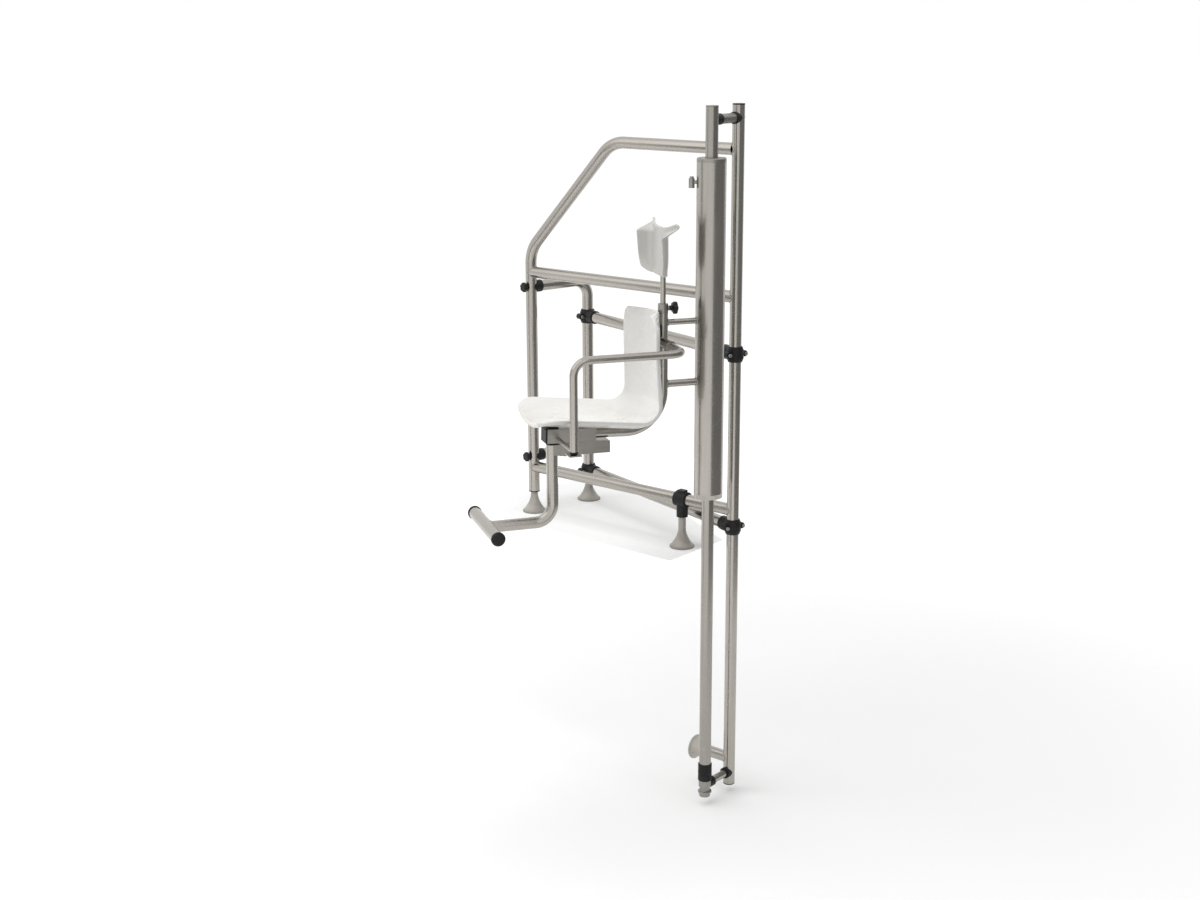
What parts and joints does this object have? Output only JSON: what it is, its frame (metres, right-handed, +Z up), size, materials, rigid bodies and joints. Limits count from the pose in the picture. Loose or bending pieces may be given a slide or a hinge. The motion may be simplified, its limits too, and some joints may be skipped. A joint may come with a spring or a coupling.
{
  "type": "pool lift",
  "caption": "Water-powered pool lift: a swivelling bucket seat on a sleeve that slides on a mast, held at the pool's edge by a tubular guard frame with feet and a wall pad.",
  "frame": {"origin": "middle of the front foot's sole, on the deck", "axes": "+Z up along the mast; +X along the guard frame, from the front foot towards the mast and the pool; +Y from the mast's side to the guard frame's back"},
  "size_m": [1.095, 1.2486, 2.485],
  "materials": {
    "tube_steel": "satin",
    "fitting_steel": "polished",
    "black_plastic": "matte",
    "foot_casting": "satin",
    "shell_white": "semi-gloss",
    "black_rubber": "matte",
    "bush_plastic": "smooth",
    "piston_bronze": "machined"
  },
  "bodies": {
    "frame": {"guard_rail": "tube_steel", "middle_rail": "tube_steel", "lower_rail": "tube_steel", "rear_post": "tube_steel", "back_leg": "tube_steel", "back_strut": "tube_steel", "upper_brace": "tube_steel", "lower_brace": "tube_steel", "left_foot": "foot_casting", "back_foot": "foot_casting", "front_foot": "foot_casting", "foot_inserts": "black_plastic", "front_tee_clamp": "black_plastic", "back_clamp_upper": "black_plastic", "back_clamp_lower": "black_plastic", "rear_clamp_upper": "black_plastic", "rear_clamp_lower": "black_plastic", "left_saddles": "black_plastic", "left_hand_knobs": "black_plastic", "clamp_bolts": "fitting_steel", "wall_pad_arm": "tube_steel", "wall_pad": "foot_casting", "upper_link": "tube_steel", "upper_link_collars": "black_plastic", "lower_link": "tube_steel", "lower_link_collars": "black_plastic", "post_plugs": "black_plastic", "mast": "tube_steel", "mast_cap": "fitting_steel", "piston": "piston_bronze", "piston_seals": "black_rubber", "bump_stop": "black_rubber", "water_inlet": "fitting_steel"},
    "guides": {"upper_guide_bush": "bush_plastic", "lower_guide_bush": "bush_plastic", "rod_seals": "black_rubber"},
    "sleeve": {"sleeve": "tube_steel", "sleeve_cap": "tube_steel", "bush_stop_ring": "fitting_steel", "bleed_valve": "fitting_steel", "upper_arm": "tube_steel", "lower_arm": "tube_steel", "spine": "tube_steel", "rod_guide": "black_plastic", "headrest_collar": "fitting_steel", "armrest_boss": "tube_steel", "armrest_shelf": "tube_steel", "seat_socket": "tube_steel", "socket_plug": "black_plastic", "footrest_channel": "tube_steel", "seat_pads": "black_rubber", "seat_shell": "shell_white"},
    "headrest": {"headrest_rod": "fitting_steel", "headrest_shell": "shell_white"},
    "headrest_knob": {"headrest_knob": "black_plastic"},
    "armrest": {"armrest": "tube_steel", "armrest_tip": "black_plastic"},
    "footrest": {"footrest_slider": "tube_steel", "footrest_frame": "tube_steel", "footrest_caps": "black_plastic"}
  },
  "joints": [
    {"name": "lift_travel", "type": "slide", "parent": "frame", "child": "guides", "axis": [0, 0, 1], "range_m": [-1.005, 0]},
    {"name": "chair_turn", "type": "hinge", "parent": "guides", "child": "sleeve", "pos_m": [0.228, -0.15, 0], "axis": [0, 0, 1], "range_deg": [-30, 140]},
    {"name": "headrest_height", "type": "slide", "parent": "sleeve", "child": "headrest", "axis": [0, 0, 1], "range_m": [-0.06, 0.1]},
    {"name": "knob_turn", "type": "hinge", "parent": "sleeve", "child": "headrest_knob", "pos_m": [0.13791, -0.29417, 0.9405], "axis": [0.5299, 0.848, 0], "range_deg": [0, 720]},
    {"name": "armrest_lift", "type": "hinge", "parent": "sleeve", "child": "armrest", "pos_m": [0.1888, -0.32596, 0.825], "axis": [-0.848, 0.5299, 0], "range_deg": [0, 100]},
    {"name": "footrest_slide", "type": "slide", "parent": "sleeve", "child": "footrest", "axis": [-0.5299, -0.848, 0], "range_m": [0, 0.08]}
  ]
}
